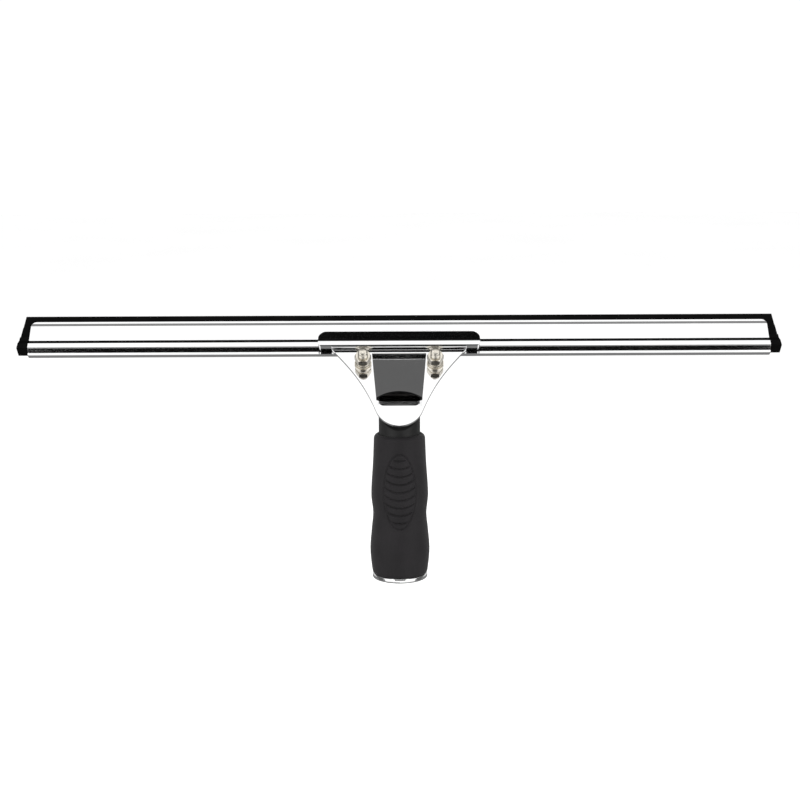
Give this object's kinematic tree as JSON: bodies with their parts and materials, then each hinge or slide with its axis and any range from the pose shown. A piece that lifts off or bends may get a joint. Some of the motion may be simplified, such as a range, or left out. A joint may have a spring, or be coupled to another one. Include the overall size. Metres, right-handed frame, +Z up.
{
  "type": "window cleaning squeegee",
  "caption": "Window squeegee: rubber blade in a steel channel, sprung clamp head with thumb release, rubber-covered handle with a pole socket.",
  "frame": {"origin": "centre of the pole socket's mouth, at the lower end of the handle", "axes": "+Z up the handle, +X along the blade, -Y towards the user's side with the thumb pad"},
  "size_m": [0.4488, 0.0599, 0.1494],
  "materials": {
    "stainless": "polished stainless sheet",
    "ferrule_chrome": "bright chrome plate",
    "nickel": "warm nickel plate",
    "blade_rubber": "smooth",
    "grip_rubber": "matt, fine grain",
    "black_plastic": "satin moulded"
  },
  "bodies": {
    "handle": {"handle_core": "black_plastic", "grip_sleeve": "grip_rubber", "socket_ferrule": "ferrule_chrome", "rear_jaw": "stainless", "pivot_pin": "nickel", "pin_clip_left": "nickel", "pin_clip_right": "nickel", "clamp_stud_left": "nickel", "clamp_stud_right": "nickel", "clamp_nut_left": "nickel", "clamp_nut_right": "nickel", "clamp_spring_left": "nickel", "clamp_spring_right": "nickel", "tang_rivet_upper": "nickel", "tang_rivet_lower": "nickel"},
    "jaw": {"front_jaw": "stainless", "spring_washer_left": "nickel", "spring_washer_right": "nickel"},
    "channel": {"channel": "stainless"},
    "blade": {"rubber_blade": "blade_rubber"},
    "clip_left": {"end_clip_left": "black_plastic"},
    "clip_right": {"end_clip_right": "black_plastic"}
  },
  "joints": [
    {"name": "jaw_open", "type": "hinge", "parent": "handle", "child": "jaw", "pos_m": [0, 0.00603, 0.11161], "axis": [1, 0, 0], "range_deg": [0, 7], "stiffness_Nm_per_rad": 1.8, "springref_deg": -12.61, "deforming": ["clamp_spring_left", "clamp_spring_right"]},
    {"name": "channel_slide", "type": "slide", "parent": "handle", "child": "channel", "axis": [1, 0, 0], "range_m": [-0.27, 0.27]},
    {"name": "blade_slide", "type": "slide", "parent": "channel", "child": "blade", "axis": [1, 0, 0], "range_m": [-0.45, 0.45]},
    {"name": "clip_left_pull", "type": "slide", "parent": "channel", "child": "clip_left", "axis": [-1, 0, 0], "range_m": [0, 0.025]},
    {"name": "clip_right_pull", "type": "slide", "parent": "channel", "child": "clip_right", "axis": [1, 0, 0], "range_m": [0, 0.025]}
  ]
}
